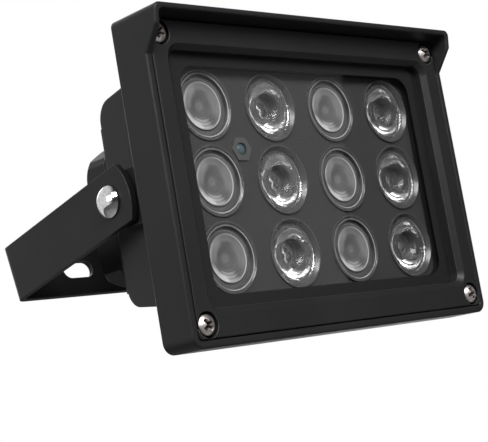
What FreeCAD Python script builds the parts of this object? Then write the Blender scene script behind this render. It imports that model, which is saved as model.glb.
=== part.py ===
import FreeCAD, Part
import math
import os
import re

import Sketcher

# Infrared illuminator on a U-bracket. Millimetres, +Z up, the lamp looks towards -Y.
# Origin: the middle of the outer face of the bracket's base plate, which goes on the wall.
# The lamp head is drawn straight, with its front cover's face at Y = 0 and its middle at
# X = Z = 0, and each of its pieces is then set on the pivot and tipped down by aimTilt.

doc = FreeCAD.newDocument("InfraredIlluminator")
sheet = doc.addObject("Spreadsheet::Sheet", "Sizes")

driving_sizes = [
    ("pivotReach", 70, "pivot axis in front of the wall face"),
    ("aimTilt", 12.5, "lamp tipped down, degrees"),
    ("stripWidth", 22, "bracket strip, width"),
    ("stripThick", 2.5, "bracket strip, thickness"),
    ("armClear", 2.2, "pan's widest side to the bracket's arm"),
    ("bendRadius", 4, "bracket bend, outside radius"),
    ("armNose", 12, "arm end ahead of the pivot"),
    ("noseRadius", 20, "arc of the arm end"),
    ("slotSpacing", 84, "wall slots, centre to centre"),
    ("slotLength", 15, "wall slot, end to end"),
    ("slotWidth", 7.2, "wall slot, width"),
    ("centreHole", 8.5, "hole in the middle of the base plate"),
    ("caseDepth", 16.4, "casing step behind the cover's face"),
    ("caseWall", 2.8, "casing wall"),
    ("cornerLow", 4.5, "casing corner radius, bottom"),
    ("cornerTop", 2.6, "casing corner radius, top"),
    ("recessCorner", 1.5, "corner radius of the recess and the cover"),
    ("hoodReach", 8.5, "hood in front of the cover's face"),
    ("hoodBreak", 7.3, "reach of the wing where its edge turns"),
    ("hoodBreakDrop", 7.5, "height of the steep part of the wing"),
    ("wingHeight", 16.5, "height of the whole wing"),
    ("hoodDraft", 5, "hood and wings thinner forwards, degrees"),
    ("edgeRound", 0.8, "rounding of the casing's outer edges"),
    ("pivotBack", 41, "pivot axis behind the cover's face"),
    ("panClearX", 4.77, "outer sleeves to the pan's side walls"),
    ("panClearZ", 0.15, "outer sleeves to the pan's top and bottom walls"),
    ("panDepth", 33.1, "rear pan behind the casing step"),
    ("panWall", 2.5, "rear pan wall"),
    ("panDraft", 7.5, "rear pan draft, degrees"),
    ("panRound", 8, "rear pan, top and bottom rear edges"),
    ("finCount", 20, "cooling fins"),
    ("finInsetX", 13.3, "outermost fins in from the pan's sides"),
    ("finInsetZ", 10.6, "fin ends in from the pan's top and bottom"),
    ("finThick", 2, "fin thickness"),
    ("finReach", 10, "fin behind the pan"),
    ("lugHalf", 10.5, "pivot lug, half height and end radius"),
    ("washerThick", 0.8, "friction washer"),
    ("washerWidth", 15, "friction washer, outside diameter"),
    ("boltSize", 6, "pivot bolt, shank diameter"),
    ("boltHead", 11, "pivot bolt, head diameter"),
    ("boltDome", 3.3, "pivot bolt, head height"),
    ("boltGrip", 12, "pivot bolt in the lug"),
    ("bossWall", 4, "boss round the bolt's thread"),
    ("bossReach", 3, "boss beyond the bolt's tip"),
    ("boxWidth", 100, "driver box, width"),
    ("boxHeight", 56.4, "driver box, height"),
    ("boxChamfer", 5.5, "driver box, long edges"),
    ("boxRound", 13, "driver box, top and bottom rear edges"),
    ("boxDepth", 20.5, "driver box behind the pan, to the middle of its gasket"),
    ("lidDepth", 13.5, "driver cover, front to back"),
    ("lidBevel", 1.5, "bevel of its rear side edges"),
    ("boxWall", 3, "driver box wall"),
    ("boxSideWall", 4.5, "driver box wall at the sides"),
    ("lidGasket", 1, "driver cover gasket"),
    ("wireHole", 8, "wire passage from the driver box"),
    ("frameSide", 11.9, "front opening in from the casing's sides"),
    ("frameTop", 13.5, "front opening in from the casing's top and bottom"),
    ("bezelCorner", 4.2, "front opening, corner radius"),
    ("bevelRun", 3.8, "bevel across the cover's face"),
    ("bevelDepth", 2, "bevel depth"),
    ("coverRound", 0.5, "rounding of the cover's front edges"),
    ("coverGap", 0.3, "gap round the cover"),
    ("screwInsetX", 7.7, "cover screws in from the casing's sides"),
    ("screwInsetZ", 8, "cover screws in from the casing's top and bottom"),
    ("counterbore", 9.4, "cover screw counterbore"),
    ("counterboreDepth", 4.6, "depth of that counterbore"),
    ("screwSize", 4, "cover screw, shank diameter"),
    ("screwHead", 7.4, "cover screw, head diameter"),
    ("screwHeadHigh", 2.4, "cover screw, head height"),
    ("screwGrip", 4.2, "cover screw in the casing"),
    ("glassLap", 2.4, "glass behind the cover's inner edge"),
    ("glassCorner", 6, "glass, corner radius"),
    ("gasketCorner", 5, "front gasket, inner corner radius"),
    ("plateCorner", 4, "lens plate, corner radius"),
    ("glassFront", 5, "glass behind the cover's face"),
    ("glassThick", 2.5, "glass thickness"),
    ("glassGap", 0.4, "glass to the holder flanges"),
    ("gasketRing", 2.3, "front gasket, width of its ring"),
    ("plateThick", 1.6, "lens plate, thickness"),
    ("plateScrewInset", 2.6, "lens plate screws in from its top and bottom"),
    ("plateScrew", 2, "lens plate screw, shank"),
    ("plateGrip", 4, "lens plate screw in the casing"),
    ("lensColumns", 4, "lens columns"),
    ("lensRows", 3, "lens rows"),
    ("lensGapX", 7.6, "between holder flanges across"),
    ("lensGapZ", 1.57, "between holder flanges upwards"),
    ("lensMarginX", 6, "outer flanges in from the lens plate's sides"),
    ("lensMarginZ", 4.48, "outer flanges in from its top and bottom"),
    ("flangeWidth", 26.5, "holder flange, diameter"),
    ("flangeThick", 0.7, "holder flange on the plate"),
    ("flangeLip", 0.55, "flange outside the sleeve"),
    ("sleeveTaper", 3.7, "sleeve narrower at the board, each side"),
    ("wideRim", 1.15, "flange outside the bore, wide lens"),
    ("spotRim", 1.8, "flange outside the bore, spot lens"),
    ("mouthRim", 0.5, "flange outside the bevelled mouth"),
    ("wideMouth", 0.4, "depth of the mouth's bevel, wide lens"),
    ("spotMouth", 1.2, "depth of the mouth's bevel, spot lens"),
    ("ledgeRun", 1.2, "ledge under a lens's rim, width"),
    ("ledgeHigh", 1, "ledge, height"),
    ("sleeveWall", 1, "sleeve wall at the board"),
    ("lensSink", 1.8, "lens face below the holder's rim"),
    ("ridgeRun", 0.6, "ridge round a lens's face, width"),
    ("ridgeHigh", 0.4, "ridge of the spot lens; the wide one's lies as far below the flange"),
    ("dishRing", 2.95, "ring round the frosted dish of the wide lens"),
    ("dishBand", 1, "bevel round the dish"),
    ("dishHigh", 0.5, "dish's edge above the ring"),
    ("dishHollow", 1.1, "middle of the dish below its edge"),
    ("spotWell", 11.6, "well in the spot lens's face, diameter"),
    ("spotWellDeep", 3.2, "depth of that well"),
    ("wellDraft", 0.4, "well narrower at its bottom, each side"),
    ("spotDome", 5.4, "dome on the well's floor, diameter"),
    ("spotDomeHigh", 0.8, "height of the dome"),
    ("lensRim", 1.3, "rim of a lens, outside its cone"),
    ("lensFoot", 11, "foot of a lens, diameter"),
    ("lensLift", 1.2, "foot of a lens above the LED board"),
    ("lensCurve", 14, "radius of a lens's side"),
    ("ledWell", 6, "well over the LED, diameter"),
    ("wideWellDeep", 3, "depth of the wide lens's well"),
    ("ledWellDeep", 2, "depth of the spot lens's well"),
    ("wellDome", 0.9, "top of the well over the LED, height"),
    ("boardDrop", 7.8, "LED board behind the casing's deck"),
    ("boardThick", 1.6, "LED board thickness"),
    ("boardCorner", 2, "board corner radius"),
    ("boardGapX", 6.3, "LED board in from the pan's sides"),
    ("boardGapZ", 5.1, "LED board in from the pan's top and bottom"),
    ("postWidth", 7, "post behind the LED board"),
    ("smallScrew", 3, "M3 screw shank"),
    ("smallHead", 5.6, "M3 screw head"),
    ("smallHeadHigh", 1.8, "M3 screw head height"),
    ("smallGrip", 8, "M3 screw in its post"),
    ("ledSide", 3.5, "LED package, side"),
    ("ledHigh", 0.8, "LED package, height"),
    ("ledDome", 2.6, "LED dome, diameter"),
    ("ledDomeHigh", 0.8, "LED dome above its package"),
    ("sensorShiftX", 1.9, "light sensor left of the middle of four lenses"),
    ("sensorShiftZ", 2.335, "light sensor below the middle of four lenses"),
    ("sensorWidth", 4.6, "light sensor, diameter"),
    ("sensorDome", 0.9, "height of the sensor's domed front"),
    ("sensorTail", 1.4, "sensor behind the lens plate"),
    ("sensorNut", 8.6, "sensor holder, across flats"),
    ("sensorNutHigh", 0.6, "sensor holder, thickness"),
    ("driverGapX", 1, "driver board in from the screw columns"),
    ("driverGapZ", 4.2, "driver board in from the box's top and bottom walls"),
    ("driverInset", 4, "driver board screws in from its edges"),
    ("driverPost", 5, "posts under the driver board"),
    ("driverPostWidth", 6, "those posts, diameter"),
    ("coreInset", 17, "transformer's middle in from the driver board's left edge"),
    ("coreWidth", 22, "transformer core, width"),
    ("coreHeight", 18, "transformer core, height"),
    ("coreLong", 13, "transformer core off the board"),
    ("coilWidth", 16, "transformer winding, width"),
    ("coilHeight", 24, "transformer winding, height"),
    ("coilLong", 8, "transformer winding off the board"),
    ("coilLift", 2.5, "gap under the winding"),
    ("coilCorner", 3, "transformer winding, corner radius"),
    ("canInset", 31, "capacitors' middle in from the driver board's right edge"),
    ("canPitch", 14, "capacitors, centre to centre"),
    ("canShift", 1, "capacitors above the board's middle"),
    ("canWidth", 10, "capacitor, diameter"),
    ("canLong", 16, "capacitor off the board"),
    ("chokeInset", 13, "choke's middle in from the driver board's right edge"),
    ("chokeWidth", 16, "choke, diameter"),
    ("chokeBore", 6.8, "choke, bore"),
    ("chokeLong", 7, "choke off the board"),
    ("lidScrewInset", 8, "driver cover screws in from the box's sides"),
    ("lidScrewZ", 24, "driver cover screws, upwards"),
    ("columnWidth", 8, "column round a driver cover screw"),
    ("headSink", 0.2, "driver cover screw heads below its face"),
    ("glandInset", 10, "cable gland behind the pan"),
    ("glandSize", 12, "cable gland thread"),
    ("glandHex", 15, "cable gland, across flats"),
    ("glandFlange", 5, "cable gland's hexagon, height"),
    ("glandStub", 10, "cable gland's stub under the box, length"),
    ("glandBore", 7, "cable gland, bore"),
    ("glandTop", 4, "cable gland's thread inside the box"),
    ("glandSeatRing", 0.7, "spot face outside the gland's corners"),
    ("glandSink", 0.2, "spot face into the box's wall"),
    ("capNutWidth", 14.6, "cable gland's cap nut, diameter"),
    ("capNutBore", 10.2, "cap nut, bore over the stub"),
    ("capNutMouth", 6.8, "cap nut, hole for the cord"),
    ("capNutTip", 3, "cap nut, height of its cone"),
    ("capNutCone", 2, "cap nut, cone inwards"),
    ("capNutFloor", 5.4, "cap nut, depth of its bore"),
    ("glandNutLong", 11, "cap nut, length"),
    ("sealWidth", 6.9, "cord seal, diameter"),
    ("sealBore", 4.8, "cord seal, bore"),
    ("sealLong", 6, "cord seal, length"),
    ("sealLift", 0.1, "cord seal above the stub's end"),
    ("locknutThick", 3, "lock nut, thickness"),
    ("locknutHex", 16, "lock nut, across flats"),
    ("gripCount", 14, "grip grooves round the cap nut"),
    ("gripSize", 0.8, "grip groove, radius"),
    ("slack", 0.3, "running gap between separate bodies"),
    ("seatSlack", 0.1, "gap round lenses, holders and the sensor in their seats"),
    ("holeSlack", 0.2, "gap round a screw in a board or a cover, and beside the gland's nut"),
    ("fitSlack", 0.05, "gap round a shaft in its own hole"),
    ("threadRun", 0.6, "threaded holes deeper than their screws"),
    ("past", 1, "how far cuts run past the stock, and how deep pads start in it"),
]
for line, (alias, size, note) in enumerate(driving_sizes, start=1):
    sheet.set(f"A{line}", note)
    sheet.set(f"B{line}", str(size))
    sheet.setAlias(f"B{line}", alias)

# Sizes that follow from those, worked out from the lenses outwards.
following_sizes = [
    ("sleeveTop", "flangeWidth - 2 * flangeLip"),
    ("sleeveFoot", "sleeveTop - 2 * sleeveTaper"),
    ("wideBore", "flangeWidth - 2 * wideRim"),
    ("spotBore", "flangeWidth - 2 * spotRim"),
    ("dishWidth", "wideBore - 2 * dishRing"),
    ("lensPitchX", "flangeWidth + lensGapX"),
    ("lensPitchZ", "flangeWidth + lensGapZ"),
    ("sensorX", "-lensPitchX - sensorShiftX"),
    ("sensorZ", "lensPitchZ / 2 - sensorShiftZ"),
    ("plateWidth", "(lensColumns - 1) * lensPitchX + flangeWidth + 2 * lensMarginX"),
    ("plateHeight", "(lensRows - 1) * lensPitchZ + flangeWidth + 2 * lensMarginZ"),
    ("plateScrewX", "2 * lensPitchX"),
    ("plateScrewZ", "plateHeight - 2 * plateScrewInset"),
    ("glassWidth", "plateWidth + 2 * (gasketRing + slack)"),
    ("glassHeight", "plateHeight + 2 * (gasketRing + slack)"),
    ("bezelWidth", "glassWidth - 2 * glassLap"),
    ("bezelHeight", "glassHeight - 2 * glassLap"),
    ("caseWidth", "bezelWidth + 2 * frameSide"),
    ("caseHeight", "bezelHeight + 2 * frameTop"),
    ("coverScrewX", "caseWidth - 2 * screwInsetX"),
    ("coverScrewZ", "caseHeight - 2 * screwInsetZ"),
    ("deckBack", "glassFront + glassThick + glassGap + flangeThick + plateThick"),
    ("boardFront", "deckBack + boardDrop"),
    ("panSpread", "(caseDepth - deckBack) * tan(panDraft)"),
    ("panWidth", "(lensColumns - 1) * lensPitchX + sleeveTop + 2 * (panClearX + panWall - panSpread)"),
    ("panHeight", "(lensRows - 1) * lensPitchZ + sleeveTop + 2 * (panClearZ + panWall - panSpread)"),
    ("panBack", "caseDepth + panDepth"),
    ("boardWidth", "panWidth - 2 * boardGapX"),
    ("boardHeight", "panHeight - 2 * boardGapZ"),
    ("finSpan", "panWidth - 2 * finInsetX"),
    ("finHeight", "panHeight - 2 * finInsetZ"),
    ("bracketWidth", "panWidth + 2 * (armClear + stripThick)"),
    ("lugFace", "panWidth / 2 + armClear - washerThick - slack"),
    ("boxSeam", "panBack + boxDepth"),
    ("boxBack", "boxSeam + lidGasket / 2 + lidDepth"),
    ("boxInnerSide", "boxWidth / 2 - boxSideWall"),
    ("lidScrewX", "boxWidth - 2 * lidScrewInset"),
    ("driverBoardWidth", "lidScrewX - columnWidth - 2 * driverGapX"),
    ("driverBoardHeight", "boxHeight - 2 * boxWall - 2 * driverGapZ"),
    ("coreX", "coreInset - driverBoardWidth / 2"),
    ("canX", "driverBoardWidth / 2 - canInset"),
    ("chokeX", "driverBoardWidth / 2 - chokeInset"),
    ("driverFront", "panBack + driverPost"),
    ("driverBack", "driverFront + boardThick"),
    ("glandBack", "panBack + glandInset"),
]
sheet_names = "|".join(alias for alias, size, note in driving_sizes)
layout_names = "|".join(alias for alias, rule in following_sizes)


# Expressions are written with bare size names, which this points at their objects.
def sized(text):
    text = re.sub(rf"\b({sheet_names})\b", r"Sizes.\1", str(text))
    return re.sub(rf"\b({layout_names})\b", r"Layout.\1", text)


layout = doc.addObject("App::FeaturePython", "Layout")
for alias, rule in following_sizes:
    layout.addProperty("App::PropertyFloat", alias)
    layout.setExpression(alias, sized(rule))
doc.recompute()


def number(text):
    return float(layout.evalExpression(sized(text)))


def new_body(name, many=False):
    body = doc.addObject("PartDesign::Body", name)
    body.Label = name
    if many:
        body.AllowCompound = True
    return body


# A sketch on one of the body's own planes, moved along that plane's positive axis.
def new_sketch(body, plane, name, at="0"):
    sketch = body.newObject("Sketcher::SketchObject", name)
    support = next(f for f in body.Origin.OriginFeatures if f.Role == plane + "_Plane")
    sketch.AttachmentSupport = [(support, "")]
    sketch.MapMode = "FlatFace"
    sign = "-" if plane == "XZ" else ""
    sketch.setExpression("AttachmentOffset.Base.z", sized(f"{sign}({at})"))
    return sketch


def pin(sketch, kind, geometry, position, value):
    entry = Sketcher.Constraint(kind, -1, 1, geometry, position, number(value))
    index = sketch.addConstraint(entry)
    sketch.setExpression(f"Constraints[{index}]", sized(value))


def pin_point(sketch, geometry, position, across, up):
    pin(sketch, "DistanceX", geometry, position, across)
    pin(sketch, "DistanceY", geometry, position, up)


# Closed outline through corners; arcs maps a corner's index to the centre, radius and
# sense (1 anticlockwise, -1 clockwise) of the arc that leaves it.
def outline(sketch, corners, arcs=None):
    arcs = arcs or {}
    first = sketch.GeometryCount
    count = len(corners)
    places = [FreeCAD.Vector(number(a), number(b), 0) for a, b in corners]
    ends = []
    for index in range(count):
        start, end = places[index], places[(index + 1) % count]
        if index not in arcs:
            sketch.addGeometry(Part.LineSegment(start, end), False)
            ends.append((1, 2))
            continue
        centre_x, centre_y, radius, sense = arcs[index]
        centre = FreeCAD.Vector(number(centre_x), number(centre_y), 0)
        first_end, last_end = (start, end) if sense > 0 else (end, start)
        turn_start = math.atan2(first_end.y - centre.y, first_end.x - centre.x)
        turn_end = math.atan2(last_end.y - centre.y, last_end.x - centre.x)
        if turn_end <= turn_start:
            turn_end += 2 * math.pi
        circle = Part.Circle(centre, FreeCAD.Vector(0, 0, 1), number(radius))
        sketch.addGeometry(Part.ArcOfCircle(circle, turn_start, turn_end), False)
        ends.append((1, 2) if sense > 0 else (2, 1))
    for index in range(count):
        after = (index + 1) % count
        joint = Sketcher.Constraint(
            "Coincident", first + index, ends[index][1], first + after, ends[after][0])
        sketch.addConstraint(joint)
    for index, (across, up) in enumerate(corners):
        pin_point(sketch, first + index, ends[index][0], across, up)
    for index, (centre_x, centre_y, radius, sense) in arcs.items():
        chord = places[(index + 1) % count] - places[index]
        upright = abs(chord.y) > abs(chord.x)
        kind, value = ("DistanceX", centre_x) if upright else ("DistanceY", centre_y)
        pin(sketch, kind, first + index, 3, value)


def rounded_rectangle(sketch, half_width, half_height, low, top=None, across="0", up="0"):
    top = top or low
    right, left = f"({across} + ({half_width}))", f"({across} - ({half_width}))"
    upper, lower = f"({up} + ({half_height}))", f"({up} - ({half_height}))"
    corners = [
        (f"{left} + ({low})", lower), (f"{right} - ({low})", lower),
        (right, f"{lower} + ({low})"), (right, f"{upper} - ({top})"),
        (f"{right} - ({top})", upper), (f"{left} + ({top})", upper),
        (left, f"{upper} - ({top})"), (left, f"{lower} + ({low})"),
    ]
    arcs = {
        1: (f"{right} - ({low})", f"{lower} + ({low})", low, 1),
        3: (f"{right} - ({top})", f"{upper} - ({top})", top, 1),
        5: (f"{left} + ({top})", f"{upper} - ({top})", top, 1),
        7: (f"{left} + ({low})", f"{lower} + ({low})", low, 1),
    }
    outline(sketch, corners, arcs)


def rectangle(sketch, half_width, half_height, across="0", up="0"):
    right, left = f"({across} + ({half_width}))", f"({across} - ({half_width}))"
    upper, lower = f"({up} + ({half_height}))", f"({up} - ({half_height}))"
    outline(sketch, [(left, lower), (right, lower), (right, upper), (left, upper)])


def chamfered_rectangle(sketch, half_width, half_height, chamfer):
    width, height, cut = f"({half_width})", f"({half_height})", f"({chamfer})"
    outline(sketch, [
        (f"-{width} + {cut}", f"-{height}"), (f"{width} - {cut}", f"-{height}"),
        (width, f"-{height} + {cut}"), (width, f"{height} - {cut}"),
        (f"{width} - {cut}", height), (f"-{width} + {cut}", height),
        (f"-{width}", f"{height} - {cut}"), (f"-{width}", f"-{height} + {cut}"),
    ])


def hexagon(sketch, across_flats, across="0", up="0"):
    corners = []
    for turn in range(6):
        reach = f"({across_flats}) / 2 / cos(30)"
        corners.append((f"{across} + {reach} * cos({60 * turn})", f"{up} + {reach} * sin({60 * turn})"))
    outline(sketch, corners)


def circles(sketch, centres, radius):
    for across, up in centres:
        centre = FreeCAD.Vector(number(across), number(up), 0)
        normal = FreeCAD.Vector(0, 0, 1)
        index = sketch.addGeometry(Part.Circle(centre, normal, number(radius)), False)
        pin_point(sketch, index, 3, across, up)
        entry = Sketcher.Constraint("Radius", index, number(radius))
        place = sketch.addConstraint(entry)
        sketch.setExpression(f"Constraints[{place}]", sized(radius))


# Pads grow and pockets cut along the positive axis of the sketch's plane unless backwards.
def pad(body, sketch, length, backwards=False, middle=False, taper=None):
    feature = body.newObject("PartDesign::Pad", "Pad")
    feature.Profile = sketch
    feature.setExpression("Length", sized(length))
    feature.Midplane = middle
    on_xz = abs(sketch.Placement.Rotation.multVec(FreeCAD.Vector(0, 0, 1)).y) > 0.5
    feature.Reversed = on_xz != backwards
    if taper:
        feature.setExpression("TaperAngle", sized(taper))
    doc.recompute()
    return feature


def pocket(body, sketch, length, backwards=False, middle=False, taper=None):
    feature = body.newObject("PartDesign::Pocket", "Pocket")
    feature.Profile = sketch
    feature.setExpression("Length", sized(length))
    feature.Midplane = middle
    feature.Refine = False
    on_xz = abs(sketch.Placement.Rotation.multVec(FreeCAD.Vector(0, 0, 1)).y) > 0.5
    feature.Reversed = on_xz == backwards
    if taper:
        feature.setExpression("TaperAngle", sized(taper))
    doc.recompute()
    return feature


def revolve(body, sketch, axis):
    feature = body.newObject("PartDesign::Revolution", "Revolution")
    feature.Profile = sketch
    feature.ReferenceAxis = (sketch, [axis])
    feature.Angle = 360
    doc.recompute()
    return feature


# Four places at the corners of a rectangle.
def four_corners(spacing_x, spacing_z):
    return [(f"{i} * {spacing_x} / 2", f"{k} * {spacing_z} / 2")
            for i in (-1, 1) for k in (-1, 1)]


# Edges of the body's tip whose middle point passes a test.
def edges_where(body, test):
    names = []
    for index, edge in enumerate(body.Tip.Shape.Edges, start=1):
        middle = edge.valueAt((edge.FirstParameter + edge.LastParameter) / 2)
        if test(edge, middle):
            names.append(f"Edge{index}")
    return names


def dress(body, kind, names, **values):
    base = body.Tip
    feature = body.newObject("PartDesign::" + kind, kind)
    feature.Base = (base, names)
    for key, value in values.items():
        feature.setExpression(key, sized(value))
    doc.recompute()
    return feature


# Sets a piece on the tipped head: its own origin goes to this place of the straight head.
def seat_in_head(piece, across="0", back="0", up="0"):
    piece.Placement.Rotation = FreeCAD.Rotation(FreeCAD.Vector(1, 0, 0), 1)
    behind = f"({back} - pivotBack)"
    piece.setExpression(".Placement.Base.x", sized(across))
    piece.setExpression(".Placement.Base.y", sized(
        f"-pivotReach + cos(aimTilt) * {behind} - sin(aimTilt) * ({up})"))
    piece.setExpression(".Placement.Base.z", sized(
        f"sin(aimTilt) * {behind} + cos(aimTilt) * ({up})"))
    piece.setExpression(".Placement.Rotation.Angle", sized("aimTilt * 1 deg"))


# Mounting bracket: one strip folded into a U
def make_bracket():
    body = new_body("mounting_bracket")
    side, skin, bend = "bracketWidth / 2", "stripThick", "bendRadius"
    front = "-(pivotReach + armNose)"
    profile = new_sketch(body, "XY", "BracketProfile")
    corners = [
        (f"-{side}", front), (f"-{side} + {skin}", front),
        (f"-{side} + {skin}", f"-{bend}"), (f"-{side} + {bend}", f"-{skin}"),
        (f"{side} - {bend}", f"-{skin}"), (f"{side} - {skin}", f"-{bend}"),
        (f"{side} - {skin}", front), (side, front),
        (side, f"-{bend}"), (f"{side} - {bend}", "0"),
        (f"-{side} + {bend}", "0"), (f"-{side}", f"-{bend}"),
    ]
    inner = f"{bend} - {skin}"
    outline(profile, corners, {
        2: (f"-{side} + {bend}", f"-{bend}", inner, -1),
        4: (f"{side} - {bend}", f"-{bend}", inner, -1),
        8: (f"{side} - {bend}", f"-{bend}", bend, 1),
        10: (f"-{side} + {bend}", f"-{bend}", bend, 1),
    })
    pad(body, profile, "stripWidth", middle=True)
    nose = new_sketch(body, "YZ", "ArmNose")
    beyond = "(stripWidth / 2 + past)"
    centre = f"({front} + noseRadius)"
    shoulder = f"{centre} - sqrt(noseRadius ^ 2 - {beyond} ^ 2)"
    outline(nose, [
        (shoulder, beyond), (f"{front} - past", beyond),
        (f"{front} - past", f"-{beyond}"), (shoulder, f"-{beyond}"),
    ], {3: (centre, "0", "noseRadius", -1)})
    pocket(body, nose, "bracketWidth + 2 * past", middle=True)
    pivots = new_sketch(body, "YZ", "PivotHoles")
    circles(pivots, [("-pivotReach", "0")], "boltSize / 2 + 2 * fitSlack")
    pocket(body, pivots, "bracketWidth + 2 * past", middle=True)
    slots = new_sketch(body, "XZ", "WallSlots", at="-stripThick - past")
    for sign in ("-", ""):
        middle = f"({sign}slotSpacing / 2)"
        straight = "(slotLength - slotWidth) / 2"
        half = "slotWidth / 2"
        outline(slots, [
            (f"{middle} - {straight}", f"-{half}"), (f"{middle} + {straight}", f"-{half}"),
            (f"{middle} + {straight}", half), (f"{middle} - {straight}", half),
        ], {
            1: (f"{middle} + {straight}", "0", half, 1),
            3: (f"{middle} - {straight}", "0", half, 1),
        })
    circles(slots, [("0", "0")], "centreHole / 2")
    pocket(body, slots, "stripThick + 2 * past")
    return body


# Whether a point lies on one of the casing's rounded corners.
def corner_edge(middle, rim_x, rim_z):
    reach = number("cornerLow")
    return abs(middle.x) > rim_x - reach and abs(middle.z) > rim_z - reach


# Lamp housing: casing step with its hood and wings, rear pan, fins, lugs and driver box
def make_lamp_housing():
    body = new_body("lamp_housing")
    side, top = "caseWidth / 2", "caseHeight / 2"
    shell = new_sketch(body, "XZ", "CasingOutline", at="-hoodReach")
    rounded_rectangle(shell, side, top, "cornerLow", "cornerTop")
    pad(body, shell, "hoodReach + caseDepth")
    recess = new_sketch(body, "XZ", "CoverRecess")
    rounded_rectangle(recess, f"{side} - caseWall", f"{top} - caseWall", "recessCorner")
    pocket(body, recess, "deckBack")
    under_hood = new_sketch(body, "XZ", "HoodInside")
    rounded_rectangle(under_hood, f"{side} - caseWall", f"{top} - caseWall", "recessCorner")
    pocket(body, under_hood, "hoodReach + past", backwards=True, taper="hoodDraft")
    wings = new_sketch(body, "YZ", "WingProfile")
    outline(wings, [
        ("0", f"{top} - wingHeight"), ("-hoodBreak", f"{top} - hoodBreakDrop"),
        ("-hoodReach", f"{top} + past"), ("-hoodReach - 2 * past", f"{top} + past"),
        ("-hoodReach - 2 * past", f"-{top} - past"), ("0", f"-{top} - past"),
    ])
    pocket(body, wings, "caseWidth + 2 * past", middle=True)
    rim_x, rim_z = number(f"{side} - 0.1"), number(f"{top} - 0.1")
    dress(body, "Fillet", edges_where(body, lambda edge, middle: (
        (abs(middle.x) > rim_x or abs(middle.z) > rim_z or corner_edge(middle, rim_x, rim_z))
        and not 0.01 < middle.y < number("caseDepth") - 0.01)), Radius="edgeRound")
    pan = new_sketch(body, "XZ", "PanOutline", at="caseDepth")
    rectangle(pan, "panWidth / 2", "panHeight / 2")
    pad(body, pan, "panDepth", taper="-panDraft")
    pan_rear = number("panBack")
    dress(body, "Fillet", edges_where(body, lambda edge, middle: (
        abs(middle.y - pan_rear) < 0.01 and abs(middle.x) < 1
        and edge.Length > number("panWidth / 2"))), Radius="panRound")
    box = new_sketch(body, "XZ", "BoxOutline", at="panBack - past")
    chamfered_rectangle(box, "boxWidth / 2", "boxHeight / 2", "boxChamfer")
    pad(body, box, "boxDepth - lidGasket / 2 + past")
    cavity = new_sketch(body, "XZ", "PanInside", at="deckBack")
    rectangle(cavity, "panWidth / 2 - panWall + panSpread", "panHeight / 2 - panWall + panSpread")
    pocket(body, cavity, "panBack - panWall - deckBack", taper="-panDraft")
    make_pivot_lugs(body)
    make_screw_seats(body)
    make_fins(body)
    make_driver_seats(body)
    return body


def make_fins(body):
    fin = new_sketch(body, "XZ", "FinOutline", at="panBack - past")
    rectangle(fin, "finThick / 2", "finHeight / 2", across="-finSpan / 2")
    first_fin = pad(body, fin, "finReach + past")
    fins = body.newObject("PartDesign::LinearPattern", "Fins")
    fins.Originals = [first_fin]
    fins.Direction = (fin, ["H_Axis"])
    fins.setExpression("Length", sized("finSpan"))
    fins.setExpression("Occurrences", sized("finCount"))
    body.Tip = fins
    doc.recompute()


# Lugs on both sides, each with a boss inside for the pivot bolt's thread
def make_pivot_lugs(body):
    root = "(panWidth / 2 - panWall / 2 - panDepth * tan(panDraft))"
    for sign, backwards in (("", False), ("-", True)):
        lug = new_sketch(body, "YZ", "LugOutline", at=f"{sign}{root}")
        outline(lug, [
            ("caseDepth - past", "-lugHalf"), ("pivotBack", "-lugHalf"),
            ("pivotBack", "lugHalf"), ("caseDepth - past", "lugHalf"),
        ], {1: ("pivotBack", "0", "lugHalf", 1)})
        pad(body, lug, f"lugFace - {root}", backwards=backwards)
        boss = new_sketch(body, "YZ", "BoltBoss", at=f"{sign}(lugFace - boltGrip - bossReach)")
        circles(boss, [("pivotBack", "0")], "boltSize / 2 + bossWall")
        pad(body, boss, "boltGrip", backwards=backwards)
        thread = new_sketch(body, "YZ", "BoltThread", at=f"{sign}lugFace")
        circles(thread, [("pivotBack", "0")], "boltSize / 2 + fitSlack")
        pocket(body, thread, "boltGrip + threadRun", backwards=not backwards)


# Threads for the cover and the lens plate, and the LED board's posts
def make_screw_seats(body):
    cover_threads = new_sketch(body, "XZ", "CoverThreads", at="deckBack")
    circles(cover_threads, four_corners("coverScrewX", "coverScrewZ"), "screwSize / 2 + fitSlack")
    pocket(body, cover_threads, "screwGrip + threadRun")
    plate_threads = new_sketch(body, "XZ", "PlateThreads", at="deckBack")
    circles(plate_threads, four_corners("plateScrewX", "plateScrewZ"), "plateScrew / 2 + fitSlack")
    pocket(body, plate_threads, "plateGrip + threadRun")
    pan_floor = "(panBack - panWall)"
    board_back = "(boardFront + boardThick)"
    posts = new_sketch(body, "XZ", "BoardPosts", at=board_back)
    circles(posts, board_screw_places(), "postWidth / 2")
    pad(body, posts, f"{pan_floor} + past - {board_back}")
    post_threads = new_sketch(body, "XZ", "PostThreads", at=board_back)
    circles(post_threads, board_screw_places(), "smallScrew / 2 + fitSlack")
    pocket(body, post_threads, "smallGrip + threadRun")


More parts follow.
